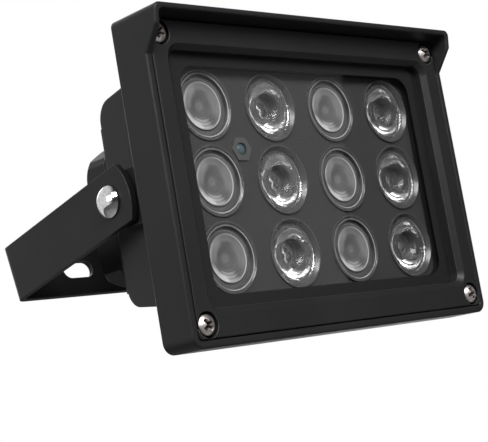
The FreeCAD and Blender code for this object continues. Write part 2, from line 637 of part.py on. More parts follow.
# Driver box: its cavity, the board's posts, the cover's screw columns and the gland's seat
def make_driver_seats(body):
    inside = new_sketch(body, "XZ", "BoxInside", at="boxSeam - lidGasket / 2")
    rectangle(inside, "boxInnerSide", "boxHeight / 2 - boxWall")
    pocket(body, inside, "boxDepth - lidGasket / 2", backwards=True)
    box_floor = "panBack"
    driver_posts = new_sketch(body, "XZ", "DriverPosts", at=f"{box_floor} - past")
    circles(driver_posts, driver_screw_places(), "driverPostWidth / 2")
    pad(body, driver_posts, "driverPost + past")
    driver_threads = new_sketch(body, "XZ", "DriverThreads", at=f"{box_floor} + driverPost")
    circles(driver_threads, driver_screw_places(), "smallScrew / 2 + fitSlack")
    pocket(body, driver_threads, "driverPost", backwards=True)
    columns = new_sketch(body, "XZ", "LidColumns", at=f"{box_floor} - past")
    circles(columns, four_corners("lidScrewX", "lidScrewZ"), "columnWidth / 2")
    pad(body, columns, f"boxSeam - lidGasket / 2 - {box_floor} + past")
    lid_threads = new_sketch(body, "XZ", "LidThreads", at="boxSeam - lidGasket / 2")
    circles(lid_threads, four_corners("lidScrewX", "lidScrewZ"), "smallScrew / 2 + fitSlack")
    pocket(body, lid_threads, "smallGrip + threadRun", backwards=True)
    passage = new_sketch(body, "XZ", "WirePassage", at=f"{box_floor} - panWall - past")
    circles(passage, [("0", "0")], "wireHole / 2")
    pocket(body, passage, "panWall + 2 * past")
    spot_face = new_sketch(body, "XY", "GlandSpotFace", at="glandSink - boxHeight / 2")
    circles(spot_face, [("0", "glandBack")], "glandHex / 2 / cos(30) + glandSeatRing")
    pocket(body, spot_face, "(finHeight - boxHeight) / 2 + glandSink + past", backwards=True)
    gland = new_sketch(body, "XY", "GlandHole", at="-boxHeight / 2 - past")
    circles(gland, [("0", "glandBack")], "glandSize / 2 + fitSlack")
    pocket(body, gland, "boxWall + 2 * past")


def board_screw_places():
    return [(f"{i} * lensPitchX", f"{k} * lensPitchZ / 2") for i in (-1, 0, 1) for k in (-1, 1)]


def driver_screw_places():
    return four_corners("(driverBoardWidth - 2 * driverInset)", "(driverBoardHeight - 2 * driverInset)")


# Front cover: bevelled bezel with four counterbored screw holes
def make_front_cover():
    body = new_body("front_cover")
    inset = "(caseWall + coverGap)"
    face = new_sketch(body, "XZ", "CoverOutline")
    rounded_rectangle(face, f"caseWidth / 2 - {inset}", f"caseHeight / 2 - {inset}", "recessCorner")
    pad(body, face, "deckBack")
    opening = new_sketch(body, "XZ", "FrontOpening", at="-past")
    rounded_rectangle(opening, "bezelWidth / 2", "bezelHeight / 2", "bezelCorner")
    pocket(body, opening, "deckBack + 2 * past")
    dress(body, "Chamfer", edges_where(body, lambda edge, middle: (
        abs(middle.y) < 0.001 and abs(middle.x) <= number("bezelWidth / 2") + 0.01
        and abs(middle.z) <= number("bezelHeight / 2") + 0.01)), Size="bevelDepth", Size2="bevelRun")
    dress(body, "Fillet", edges_where(body, lambda edge, middle: abs(middle.y) < 0.001),
          Radius="coverRound")
    rebate = new_sketch(body, "XZ", "GlassRebate", at="deckBack + past")
    rounded_rectangle(rebate, "glassWidth / 2 + slack", "glassHeight / 2 + slack", "glassCorner + slack")
    pocket(body, rebate, "deckBack + past - glassFront", backwards=True)
    holes = new_sketch(body, "XZ", "ScrewHoles", at="-past")
    circles(holes, four_corners("coverScrewX", "coverScrewZ"), "screwSize / 2 + slack")
    pocket(body, holes, "deckBack + 2 * past")
    counterbores = new_sketch(body, "XZ", "Counterbores", at="-past")
    circles(counterbores, four_corners("coverScrewX", "coverScrewZ"), "counterbore / 2")
    pocket(body, counterbores, "counterboreDepth + past")
    return body


# Tempered glass, and the rubber frame that it presses on the casing
def make_front_glass():
    body = new_body("front_glass")
    pane = new_sketch(body, "XZ", "GlassOutline", at="glassFront")
    rounded_rectangle(pane, "glassWidth / 2", "glassHeight / 2", "glassCorner")
    pad(body, pane, "glassThick")
    return body


def make_front_gasket():
    body = new_body("front_gasket")
    glass_back = "glassFront + glassThick"
    frame = new_sketch(body, "XZ", "GasketOutline", at=glass_back)
    rounded_rectangle(frame, "glassWidth / 2", "glassHeight / 2", "glassCorner")
    rounded_rectangle(frame, "plateWidth / 2 + slack", "plateHeight / 2 + slack", "gasketCorner")
    pad(body, frame, f"deckBack - ({glass_back})")
    return body


# Grid of the lens modules; columns alternate wide and spot lenses
def lens_places():
    places = []
    for row in range(int(number("lensRows"))):
        for column in range(int(number("lensColumns"))):
            across = f"({column} - (lensColumns - 1) / 2) * lensPitchX"
            up = f"((lensRows - 1) / 2 - {row}) * lensPitchZ"
            places.append((row + 1, column + 1, across, up))
    return places


def make_lens_plate():
    body = new_body("lens_plate")
    plate = new_sketch(body, "XZ", "PlateOutline", at="deckBack - plateThick")
    rounded_rectangle(plate, "plateWidth / 2", "plateHeight / 2", "plateCorner")
    pad(body, plate, "plateThick")
    holes = new_sketch(body, "XZ", "LensHoles", at="deckBack - plateThick - past")
    circles(holes, [(across, up) for row, column, across, up in lens_places()], "sleeveTop / 2 + seatSlack")
    circles(holes, four_corners("plateScrewX", "plateScrewZ"), "plateScrew / 2 + seatSlack")
    circles(holes, [("sensorX", "sensorZ")], "sensorWidth / 2 + seatSlack")
    pocket(body, holes, "plateThick + 2 * past")
    return body


# Screws with the underside of their heads at the local origin; the tips point along +Y,
# or along -Y with the sign "-"
def make_screws(name, size, head, head_high, long, places, sign=""):
    body = new_body(name, many=True)
    for across, up in places:
        profile = new_sketch(body, "XY", "ScrewProfile", at=up)
        outline(profile, [
            (across, f"{sign}(-{head_high})"), (f"{across} + {head} / 4", f"{sign}(-{head_high})"),
            (f"{across} + {head} / 2", f"{sign}(-{head_high} * 0.45)"),
            (f"{across} + {head} / 2", "0"), (f"{across} + {size} / 2", "0"),
            (f"{across} + {size} / 2", f"{sign}({long} - {size} / 4)"),
            (f"{across} + {size} / 4", f"{sign}{long}"), (across, f"{sign}{long}"),
        ])
        revolve(body, profile, "Edge8")
    return body


# Lens holder: flange on the plate with a bevelled mouth, and a sleeve that narrows down
# to the LED board
def make_lens_holder(name, bore, mouth):
    body = new_body(name)
    profile = new_sketch(body, "XY", "HolderProfile")
    foot = "boardFront - deckBack + plateThick"
    outline(profile, [
        ("flangeWidth / 2 - mouthRim", "-flangeThick"), ("flangeWidth / 2", "-flangeThick"),
        ("flangeWidth / 2", "0"), ("sleeveTop / 2", "0"),
        ("sleeveTop / 2", "plateThick"), ("sleeveFoot / 2", foot),
        ("sleeveFoot / 2 - sleeveWall", foot), (f"{bore} / 2 - ledgeRun", "plateThick + ledgeHigh"),
        (f"{bore} / 2 - ledgeRun", "plateThick"), (f"{bore} / 2", "plateThick"),
        (f"{bore} / 2", f"{mouth} - flangeThick"),
    ])
    revolve(body, profile, "V_Axis")
    return body


# Arc of a radius from one place to the next, for outline(); it bulges to the right of
# the way from start to end with sense 1, and to the left with sense -1.
def arc_between(start, end, radius, sense):
    (x1, y1), (x2, y2) = start, end
    wide, high = f"(({x2}) - ({x1}))", f"(({y2}) - ({y1}))"
    chord = f"sqrt({wide} ^ 2 + {high} ^ 2)"
    back = f"({sense} * sqrt(({radius}) ^ 2 - {chord} ^ 2 / 4) / {chord})"
    return (f"(({x1}) + {wide} / 2 - {back} * {high})", f"(({y1}) + {high} / 2 + {back} * {wide})",
            radius, sense)


# Arc of a round cap on the axis, from its middle to its edge, for outline(); sense 1 has
# the edge above the middle.
def cap_arc(middle, edge, sense):
    width, rise = f"({edge[0]})", f"(({edge[1]}) - ({middle[1]}))"
    reach = f"(({width} ^ 2 + {rise} ^ 2) / (2 * {rise}))"
    return "0", f"{middle[1]} + {reach}", f"abs({reach})", sense


# Outer half of a lens's profile, from its rim's top to the middle of its well
def lens_back(rim, rim_top, well_deep):
    seat = "(plateThick - seatSlack)"
    foot = "(boardFront - deckBack + plateThick - lensLift)"
    return [
        (rim, rim_top), (rim, seat), (f"{rim} - lensRim", seat), ("lensFoot / 2", foot),
        ("ledWell / 2", foot), ("ledWell / 2", f"{foot} - {well_deep}"),
        ("0", f"{foot} - {well_deep} - wellDome"),
    ]


# Wide lens: rim, sunk ring, and a frosted dish over a cone with a well for the LED
def make_wide_lens(name):
    body = new_body(name)
    profile = new_sketch(body, "XY", "WideLensProfile")
    rim = "(wideBore / 2 - seatSlack)"
    face = "(lensSink - flangeThick)"
    dish_edge = ("dishWidth / 2 - dishBand", f"{face} - dishHigh / 2")
    dish_middle = ("0", f"{face} - dishHigh / 2 + dishHollow")
    corners = [
        dish_middle, dish_edge, ("dishWidth / 2", f"{face} - dishHigh"), ("dishWidth / 2", face),
        (f"{rim} - ridgeRun", face), (f"{rim} - ridgeRun", "ridgeHigh - flangeThick"),
    ] + lens_back(rim, "ridgeHigh - flangeThick", "wideWellDeep")
    outline(profile, corners, {
        0: cap_arc(dish_middle, dish_edge, -1),
        8: arc_between(corners[8], corners[9], "lensCurve", 1),
    })
    revolve(body, profile, "V_Axis")
    return body


# Spot lens: polished collimator cone with a round well in its face and a dome on its floor
def make_spot_lens(name):
    body = new_body(name)
    profile = new_sketch(body, "XY", "SpotLensProfile")
    rim = "(spotBore / 2 - seatSlack)"
    face = "(lensSink - flangeThick)"
    well_floor = f"{face} + spotWellDeep"
    dome_top, dome_edge = ("0", f"{well_floor} - spotDomeHigh"), ("spotDome / 2", well_floor)
    corners = [
        dome_top, dome_edge, ("spotWell / 2 - wellDraft", well_floor), ("spotWell / 2", face),
        (f"{rim} - ridgeRun", face),
    ] + lens_back(rim, f"{face} - ridgeHigh", "ledWellDeep")
    outline(profile, corners, {
        0: cap_arc(dome_top, dome_edge, 1),
        7: arc_between(corners[7], corners[8], "lensCurve", 1),
    })
    revolve(body, profile, "V_Axis")
    return body


def make_led_board():
    body = new_body("led_board")
    board = new_sketch(body, "XZ", "LedBoardOutline", at="boardFront")
    rounded_rectangle(board, "boardWidth / 2", "boardHeight / 2", "boardCorner")
    circles(board, board_screw_places(), "smallScrew / 2 + holeSlack")
    pad(body, board, "boardThick")
    return body


def make_led_emitters():
    body = new_body("led_emitters", many=True)
    packages = new_sketch(body, "XZ", "LedPackages", at="boardFront")
    domes = new_sketch(body, "XZ", "LedDomes", at="boardFront - ledHigh")
    for row, column, across, up in lens_places():
        rectangle(packages, "ledSide / 2", "ledSide / 2", across, up)
        circles(domes, [(across, up)], "ledDome / 2")
    pad(body, packages, "ledHigh", backwards=True)
    pad(body, domes, "ledDomeHigh", backwards=True)
    return body


# Light sensor: domed eye in a hexagonal holder on the lens plate
def make_light_sensor():
    body = new_body("light_sensor")
    profile = new_sketch(body, "XY", "SensorProfile")
    eye, shoulder = ("0", "-sensorNutHigh"), ("sensorWidth / 2", "sensorDome - sensorNutHigh")
    outline(profile, [
        eye, shoulder, ("sensorWidth / 2", "plateThick + sensorTail"),
        ("0", "plateThick + sensorTail"),
    ], {0: cap_arc(eye, shoulder, 1)})
    revolve(body, profile, "V_Axis")
    return body


def make_sensor_holder():
    body = new_body("sensor_holder")
    nut = new_sketch(body, "XZ", "HolderHexagon", at="deckBack - plateThick")
    hexagon(nut, "sensorNut", "sensorX", "sensorZ")
    circles(nut, [("sensorX", "sensorZ")], "sensorWidth / 2 + seatSlack")
    pad(body, nut, "sensorNutHigh", backwards=True)
    return body


# Pivot bolts and friction washers, drawn about the pivot axis
def make_pivot_bolt(name, sign):
    body = new_body(name)
    profile = new_sketch(body, "XY", "BoltProfile")
    seat = "(bracketWidth / 2 + slack)"
    crown = f"({seat} + boltDome)"
    sphere = "(((boltHead / 2) ^ 2 + boltDome ^ 2) / (2 * boltDome))"
    tip = "(lugFace - boltGrip)"
    outline(profile, [
        (f"{sign}{tip}", "0"), (f"{sign}{tip}", "boltSize / 2 - threadRun"),
        (f"{sign}({tip} + threadRun)", "boltSize / 2"), (f"{sign}{seat}", "boltSize / 2"),
        (f"{sign}{seat}", "boltHead / 2"), (f"{sign}{crown}", "0"),
    ], {4: (f"{sign}({crown} - {sphere})", "0", sphere, -1 if sign == "" else 1)})
    revolve(body, profile, "H_Axis")
    return body


def make_washer(name, sign):
    body = new_body(name)
    ring = new_sketch(body, "YZ", "WasherOutline", at=f"{sign}lugFace")
    circles(ring, [("0", "0")], "washerWidth / 2")
    circles(ring, [("0", "0")], "boltSize / 2 + seatSlack")
    pad(body, ring, "washerThick", backwards=sign == "-")
    return body


# Driver cover: shallow lid with rounded rear edges and four counterbored holes
def make_driver_cover():
    body = new_body("driver_cover")
    seam = "(boxSeam + lidGasket / 2)"
    lid = new_sketch(body, "XZ", "LidOutline", at=seam)
    chamfered_rectangle(lid, "boxWidth / 2", "boxHeight / 2", "boxChamfer")
    pad(body, lid, f"boxBack - {seam}")
    corners = new_sketch(body, "YZ", "LidCorners")
    half = "(boxHeight / 2)"
    for sign, sense in (("", -1), ("-", 1)):
        outline(corners, [
            ("boxBack - boxRound", f"{sign}{half}"), ("boxBack - boxRound", f"{sign}({half} + past)"),
            ("boxBack + past", f"{sign}({half} + past)"), ("boxBack + past", f"{sign}({half} - boxRound)"),
            ("boxBack", f"{sign}({half} - boxRound)"),
        ], {4: ("boxBack - boxRound", f"{sign}({half} - boxRound)", "boxRound", -sense)})
    pocket(body, corners, "boxWidth + 2 * past", middle=True)
    dress(body, "Chamfer", edges_where(body, lambda edge, middle: (
        abs(middle.x) > number("boxWidth / 2") - 0.01
        and middle.y > number("boxBack - boxRound") + 1)), Size="lidBevel")
    inside = new_sketch(body, "YZ", "LidInside")
    inner = "(boxHeight / 2 - boxWall)"
    back = "(boxBack - boxWall)"
    bend = "(boxRound - boxWall)"
    outline(inside, [
        (f"{seam} - past", f"-{inner}"), (f"{back} - {bend}", f"-{inner}"),
        (back, f"-{inner} + {bend}"), (back, f"{inner} - {bend}"),
        (f"{back} - {bend}", inner), (f"{seam} - past", inner),
    ], {
        1: (f"{back} - {bend}", f"-{inner} + {bend}", bend, 1),
        3: (f"{back} - {bend}", f"{inner} - {bend}", bend, 1),
    })
    pocket(body, inside, "2 * boxInnerSide", middle=True)
    columns = new_sketch(body, "XZ", "LidColumns", at=seam)
    circles(columns, four_corners("lidScrewX", "lidScrewZ"), "columnWidth / 2")
    pad(body, columns, f"boxBack - boxWall / 2 - {seam}")
    holes = new_sketch(body, "XZ", "LidHoles", at="boxSeam - past")
    circles(holes, four_corners("lidScrewX", "lidScrewZ"), "smallScrew / 2 + holeSlack")
    pocket(body, holes, "boxBack - boxSeam + 2 * past")
    counterbores = new_sketch(body, "XZ", "LidCounterbores", at="boxBack + past")
    circles(counterbores, four_corners("lidScrewX", "lidScrewZ"), "smallHead / 2 + slack")
    pocket(body, counterbores, "smallHeadHigh + headSink + past", backwards=True)
    return body


def make_driver_gasket():
    body = new_body("driver_gasket")
    ring = new_sketch(body, "XZ", "DriverGasketOutline", at="boxSeam - lidGasket / 2")
    chamfered_rectangle(ring, "boxWidth / 2 - slack", "boxHeight / 2 - slack", "boxChamfer")
    rectangle(ring, "boxInnerSide", "boxHeight / 2 - boxWall")
    pad(body, ring, "lidGasket")
    return body


# Driver board and what is soldered on it
def make_driver_board():
    body = new_body("driver_board")
    board = new_sketch(body, "XZ", "DriverBoardOutline", at="driverFront")
    rounded_rectangle(board, "driverBoardWidth / 2", "driverBoardHeight / 2", "boardCorner")
    circles(board, driver_screw_places(), "smallScrew / 2 + holeSlack")
    pad(body, board, "boardThick")
    return body


def make_transformer():
    body = new_body("driver_transformer")
    core = new_sketch(body, "XZ", "CoreOutline", at="driverBack")
    rectangle(core, "coreWidth / 2", "coreHeight / 2", across="coreX")
    pad(body, core, "coreLong")
    winding = new_sketch(body, "XZ", "WindingOutline", at="driverBack + coilLift")
    rounded_rectangle(winding, "coilWidth / 2", "coilHeight / 2", "coilCorner", across="coreX")
    pad(body, winding, "coilLong")
    return body


def make_capacitors():
    body = new_body("driver_capacitors", many=True)
    cans = new_sketch(body, "XZ", "CapacitorOutlines", at="driverBack")
    places = [("canX", f"canShift + {sign}canPitch / 2") for sign in ("", "-")]
    circles(cans, places, "canWidth / 2")
    pad(body, cans, "canLong")
    return body


def make_choke():
    body = new_body("driver_choke")
    ring = new_sketch(body, "XZ", "ChokeOutline", at="driverBack")
    circles(ring, [("chokeX", "0")], "chokeWidth / 2")
    circles(ring, [("chokeX", "0")], "chokeBore / 2")
    pad(body, ring, "chokeLong")
    return body


# Cable gland under the driver box, drawn about its own axis with its seat on the box's wall at zero
def make_gland_body():
    body = new_body("gland_body")
    flats = new_sketch(body, "XY", "GlandHexagon")
    hexagon(flats, "glandHex")
    pad(body, flats, "glandFlange", backwards=True)
    thread = new_sketch(body, "XY", "GlandThread", at="-past")
    circles(thread, [("0", "0")], "glandSize / 2")
    pad(body, thread, "past + boxWall + glandTop")
    stub = new_sketch(body, "XY", "GlandStub", at="-past")
    circles(stub, [("0", "0")], "capNutBore / 2 - seatSlack")
    pad(body, stub, "glandStub - past", backwards=True)
    bore = new_sketch(body, "XY", "GlandBore", at="-glandStub - past")
    circles(bore, [("0", "0")], "glandBore / 2")
    pocket(body, bore, "glandStub + boxWall + glandTop + 2 * past")
    return body


def make_gland_nut():
    body = new_body("gland_nut")
    top = "(-glandFlange - holeSlack)"
    tip = f"({top} - glandNutLong)"
    floor = f"({top} - capNutFloor)"
    profile = new_sketch(body, "XZ", "CapProfile")
    outline(profile, [
        ("capNutBore / 2", top), ("capNutWidth / 2", top),
        ("capNutWidth / 2", f"{tip} + capNutTip"), ("capNutWidth / 2 - capNutCone", tip),
        ("capNutMouth / 2", tip), ("capNutMouth / 2", floor), ("capNutBore / 2", floor),
    ])
    revolve(body, profile, "V_Axis")
    groove = new_sketch(body, "XY", "GripGroove", at=f"{tip} + capNutTip")
    circles(groove, [("capNutWidth / 2 + gripSize / 2", "0")], "gripSize")
    first_groove = pocket(body, groove, "glandNutLong - capNutTip - past")
    grooves = body.newObject("PartDesign::PolarPattern", "Grooves")
    grooves.Originals = [first_groove]
    grooves.Axis = (groove, ["N_Axis"])
    grooves.Angle = 360
    grooves.setExpression("Occurrences", sized("gripCount"))
    body.Tip = grooves
    doc.recompute()
    return body


def make_gland_seal():
    body = new_body("gland_seal")
    ring = new_sketch(body, "XY", "SealOutline", at="sealLift - glandStub")
    circles(ring, [("0", "0")], "sealWidth / 2")
    circles(ring, [("0", "0")], "sealBore / 2")
    pad(body, ring, "sealLong")
    return body


def make_gland_locknut():
    body = new_body("gland_locknut")
    nut = new_sketch(body, "XY", "LocknutHexagon", at="boxWall - glandSink")
    hexagon(nut, "locknutHex")
    circles(nut, [("0", "0")], "glandSize / 2 + fitSlack")
    pad(body, nut, "locknutThick")
    return body


make_bracket()
for make_piece in (make_lamp_housing, make_front_cover, make_front_glass, make_front_gasket,
                   make_lens_plate, make_led_board, make_led_emitters, make_sensor_holder,
                   make_driver_cover, make_driver_gasket, make_driver_board, make_transformer,
                   make_capacitors, make_choke):
    seat_in_head(make_piece())
seat_in_head(make_light_sensor(), across="sensorX", back="deckBack - plateThick", up="sensorZ")

for row, column, across, up in lens_places():
    wide = column % 2 == 1
    place = f"{row}_{column}"
    bore, mouth = ("wideBore", "wideMouth") if wide else ("spotBore", "spotMouth")
    holder = make_lens_holder(f"lens_holder_{place}", bore, mouth)
    lens = make_wide_lens(f"wide_lens_{place}") if wide else make_spot_lens(f"spot_lens_{place}")
    for piece in (holder, lens):
        seat_in_head(piece, across=across, back="deckBack - plateThick", up=up)

screw_sets = [
    ("cover_screws", "screwSize", "screwHead", "screwHeadHigh",
     "(deckBack - counterboreDepth + screwGrip)", four_corners("coverScrewX", "coverScrewZ"),
     "counterboreDepth"),
    ("plate_screws", "plateScrew", "(plateScrew * 1.6)", "(plateScrew * 0.4)",
     "(plateThick + plateGrip)", four_corners("plateScrewX", "plateScrewZ"),
     "deckBack - plateThick"),
    ("board_screws", "smallScrew", "smallHead", "smallHeadHigh",
     "(boardThick + smallGrip)", board_screw_places(), "boardFront"),
]
for name, size, head, head_high, long, places, back in screw_sets:
    seat_in_head(make_screws(name, size, head, head_high, long, places), back=back)
lid_seat = "(boxBack - smallHeadHigh - headSink)"
lid_screws = make_screws(
    "driver_cover_screws", "smallScrew", "smallHead", "smallHeadHigh",
    f"({lid_seat} - boxSeam + lidGasket / 2 + smallGrip)",
    four_corners("lidScrewX", "lidScrewZ"), "-")
seat_in_head(lid_screws, back=lid_seat)
driver_screws = make_screws(
    "driver_board_screws", "smallScrew", "smallHead", "smallHeadHigh",
    "(boardThick + driverPost - threadRun)", driver_screw_places(), "-")
seat_in_head(driver_screws, back="driverBack")

for side_name, sign in (("left", "-"), ("right", "")):
    seat_in_head(make_pivot_bolt(f"pivot_bolt_{side_name}", sign), back="pivotBack")
    seat_in_head(make_washer(f"pivot_washer_{side_name}", sign), back="pivotBack")

for make_piece in (make_gland_body, make_gland_nut, make_gland_seal, make_gland_locknut):
    seat_in_head(make_piece(), back="glandBack", up="glandSink - boxHeight / 2")

doc.recompute()
for item in doc.Objects:
    if "Invalid" in item.State or "Error" in item.State:
        raise RuntimeError(f"{item.Label} is {item.State}")
    cuts = item.TypeId in ("PartDesign::Pocket", "PartDesign::Groove")
    if cuts and item.BaseFeature.Shape.Volume - item.Shape.Volume < 0.01:
        raise RuntimeError(f"{item.Label} cuts nothing")

os.makedirs("parts", exist_ok=True)
for body in doc.findObjects("PartDesign::Body"):
    shape = body.Shape
    if shape.isNull() or not shape.isValid():
        raise RuntimeError(f"{body.Label} has no valid shape")
    shape.exportStep(f"parts/{body.Label}.step")
    print(body.Label, len(shape.Solids), round(shape.Volume))
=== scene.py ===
import math

import bpy
from mathutils import Matrix, Quaternion, Vector


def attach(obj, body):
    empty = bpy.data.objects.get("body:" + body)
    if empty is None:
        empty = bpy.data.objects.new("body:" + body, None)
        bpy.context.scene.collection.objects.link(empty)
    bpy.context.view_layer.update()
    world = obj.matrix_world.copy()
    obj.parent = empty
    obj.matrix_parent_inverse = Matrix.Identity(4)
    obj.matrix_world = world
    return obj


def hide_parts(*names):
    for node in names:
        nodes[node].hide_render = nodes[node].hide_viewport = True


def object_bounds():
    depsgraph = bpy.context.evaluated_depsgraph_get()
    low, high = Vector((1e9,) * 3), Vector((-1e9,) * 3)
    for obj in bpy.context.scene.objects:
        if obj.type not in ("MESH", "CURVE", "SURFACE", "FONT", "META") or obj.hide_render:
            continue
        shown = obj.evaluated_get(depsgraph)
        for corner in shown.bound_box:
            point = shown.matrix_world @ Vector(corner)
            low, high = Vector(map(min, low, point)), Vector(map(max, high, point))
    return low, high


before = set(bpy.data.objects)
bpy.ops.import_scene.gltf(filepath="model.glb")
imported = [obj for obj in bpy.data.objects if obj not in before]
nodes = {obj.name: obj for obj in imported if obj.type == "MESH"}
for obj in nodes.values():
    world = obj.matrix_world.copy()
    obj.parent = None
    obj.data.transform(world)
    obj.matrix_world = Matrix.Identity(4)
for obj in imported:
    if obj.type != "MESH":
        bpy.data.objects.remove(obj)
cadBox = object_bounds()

quarterTurn = math.pi / 2

# The lamp head is tipped about its pivot; headPlace takes a point of the straight head,
# with the cover's face at y = 0 and its middle at x = z = 0, to where it really is.
head = {"tilt": 12.5, "pivotY": -0.070, "pivotBack": 0.041}
headTilt = math.radians(head["tilt"])
headPlace = (Matrix.Translation((0, head["pivotY"], 0)) @ Matrix.Rotation(headTilt, 4, "X")
             @ Matrix.Translation((0, -head["pivotBack"], 0)))


# Shader building: a signal is an output of a node, and sums on it add Math nodes.
class Signal:
    def __init__(self, owner, socket):
        self.owner = owner
        self.socket = socket

    def maths(self, operation, other, flipped=False):
        pair = (other, self) if flipped else (self, other)
        return self.owner.node(
            "ShaderNodeMath", {"operation": operation}, {0: pair[0], 1: pair[1]})

    def __add__(self, other):
        return self.maths("ADD", other)

    def __radd__(self, other):
        return self.maths("ADD", other)

    def __sub__(self, other):
        return self.maths("SUBTRACT", other)

    def __rsub__(self, other):
        return self.maths("SUBTRACT", other, flipped=True)

    def __mul__(self, other):
        return self.maths("MULTIPLY", other)

    def __rmul__(self, other):
        return self.maths("MULTIPLY", other)

    def __truediv__(self, other):
        return self.maths("DIVIDE", other)

    def __rtruediv__(self, other):
        return self.maths("DIVIDE", other, flipped=True)

    def __pow__(self, other):
        return self.maths("POWER", other)

    def most(self, other):
        return self.maths("MAXIMUM", other)

    def size(self):
        return self.maths("ABSOLUTE", 0)

    # 0 below start, 1 above end, smooth between them
    def rise(self, start, end):
        return self.owner.node("ShaderNodeMapRange", {"interpolation_type": "SMOOTHSTEP"}, {
            "Value": self, "From Min": start, "From Max": end})


class Shader:
    def __init__(self, tree):
        self.tree = tree

    def node(self, kind, settings=None, sockets=None, output=0):
        node = self.tree.nodes.new(kind)
        for key, value in (settings or {}).items():
            setattr(node, key, value)
        self.feed(node, sockets or {})
        return Signal(self, node.outputs[output])

    def feed(self, node, sockets):
        for key, value in sockets.items():
            socket = node.inputs[key]
            if isinstance(value, Signal):
                self.tree.links.new(value.socket, socket)
            elif socket.type == "RGBA" and len(value) == 3:
                socket.default_value = (*value, 1)
            else:
                socket.default_value = value


class Finish(Shader):
    def __init__(self, name):
        self.material = bpy.data.materials.new(name)
        self.material.use_nodes = True
        super().__init__(self.material.node_tree)
        self.shader = self.tree.nodes["Principled BSDF"]

    def set(self, **sockets):
        self.feed(self.shader, {key.replace("_", " "): value for key, value in sockets.items()})

    def place(self):
        return self.node("ShaderNodeTexCoord", output="Object")

    # Object coordinates turned back into the straight head: across, depth and up
    def headXyz(self):
        straight = self.node("ShaderNodeMapping", {"vector_type": "TEXTURE"}, {
            "Vector": self.place(), "Location": headPlace.to_translation(),
            "Rotation": (headTilt, 0, 0)})
        parts = self.node("ShaderNodeSeparateXYZ", None, {0: straight}).socket.node.outputs
        return [Signal(self, socket) for socket in parts]

    def noise(self, scale, detail=2.0, rough=0.5, vector=None):
        return self.node("ShaderNodeTexNoise", None, {
            "Vector": vector or self.place(), "Scale": scale, "Detail": detail,
            "Roughness": rough})

    def blend(self, factor, low, high):
        return self.node("ShaderNodeMix", {"data_type": "RGBA"}, {
            "Factor": factor, 6: low, 7: high}, output=2)

    def bump(self, height, distance, normal=None):
        sockets = {"Height": height, "Distance": distance, "Strength": 1.0}
        if normal:
            sockets["Normal"] = normal
        return self.node("ShaderNodeBump", None, sockets)


def grey(level):
    return (level, level, level)


def named(start):
    return [name for name in nodes if name.startswith(start)]


def coat(finish, nodeNames):
    for name in nodeNames:
        data = nodes[name].data
        data.materials.clear()
        data.materials.append(finish.material)


# Black powder coat on the castings and the bracket: fine orange peel, a soft drift of
# colour, and slightly rounded edges that are smoother and carry a painted highlight
def makePowderCoat(name, look):
    finish = Finish(name)
    drift = finish.noise(look["driftScale"], detail=3)
    peel = finish.noise(look["peelScale"], detail=2, rough=0.6)
    colour = finish.blend(drift.rise(*look["driftSpan"]), look["dark"], look["light"])
    edge = finish.node("ShaderNodeBevel", {"samples": 4}, {"Radius": look["edge"]})
    flat = finish.node("ShaderNodeNewGeometry", output="Normal")
    turned = 1 - finish.node("ShaderNodeVectorMath", {"operation": "DOT_PRODUCT"}, {
        0: edge, 1: flat}, output="Value")
    # Painted highlight: edges get a lighter base colour that stands in for light glinting on
    # them
    paintedEdgeHighlight = turned.rise(*look["edgeTurn"])
    finish.set(Base_Color=finish.blend(paintedEdgeHighlight, colour, look["edgeHighlight"]),
               Roughness=drift * look["roughDrift"] + look["rough"] - paintedEdgeHighlight * look["edgeShine"],
               Specular_IOR_Level=look["specular"],
               Normal=finish.bump(peel, look["peelDepth"], edge))
    return finish


powderLook = {
    "dark": (0.013, 0.013, 0.0135), "light": (0.016, 0.016, 0.017),
    "driftScale": 35, "driftSpan": (0.3, 0.7), "peelScale": 1500, "peelDepth": 0.00002,
    "rough": 0.36, "roughDrift": 0.08, "specular": 0.2,
    "edge": 0.0005, "edgeTurn": (0.01, 0.12), "edgeHighlight": grey(0.075), "edgeShine": 0.1}
bracketLook = dict(
    powderLook, dark=(0.012, 0.012, 0.0125), light=(0.015, 0.015, 0.0155), rough=0.34)
coat(makePowderCoat("casting coat", powderLook), ["lamp_housing", "front_cover", "driver_cover"])
coat(makePowderCoat("bracket coat", bracketLook), ["mounting_bracket"])
print("powder coats made")


# Chrome bolts and nickel screws: faint darker marks, and painted shade, a darker colour, in
# narrow hollows
def makeMetal(name, look):
    finish = Finish(name)
    marks = finish.noise(look["markScale"], detail=3)
    colour = finish.blend(marks.rise(*look["markSpan"]), look["light"], look["dark"])
    # Painted shade: ambient occlusion darkens the colour in narrow hollows such as the screws'
    # crosses
    hollowShade = finish.node("ShaderNodeAmbientOcclusion", {"samples": 8}, {
        "Distance": look["hollowReach"]}, output="AO")
    colour = finish.blend(hollowShade.rise(*look["hollowSpan"]), look["hollowShade"], colour)
    finish.set(Base_Color=colour, Metallic=1.0, Roughness=marks * look["haze"] + look["rough"])
    return finish


chromeLook = {
    "light": grey(0.88), "dark": grey(0.62), "markScale": 700, "markSpan": (0.35, 0.75),
    "rough": 0.05, "haze": 0.06,
    "hollowShade": grey(0.3), "hollowReach": 0.0005, "hollowSpan": (0.35, 0.85)}
nickelLook = {
    "light": (0.86, 0.80, 0.78), "dark": (0.58, 0.53, 0.51), "markScale": 900,
    "markSpan": (0.35, 0.75), "rough": 0.34, "haze": 0.12,
    "hollowShade": (0.05, 0.032, 0.026), "hollowReach": 0.0022, "hollowSpan": (0.35, 0.85)}
chrome = makeMetal("chrome", chromeLook)
nickel = makeMetal("warm nickel", nickelLook)
coat(chrome, ["pivot_bolt_left", "pivot_bolt_right"])
coat(nickel, ["cover_screws", "plate_screws", "board_screws", "driver_cover_screws",
              "driver_board_screws"])


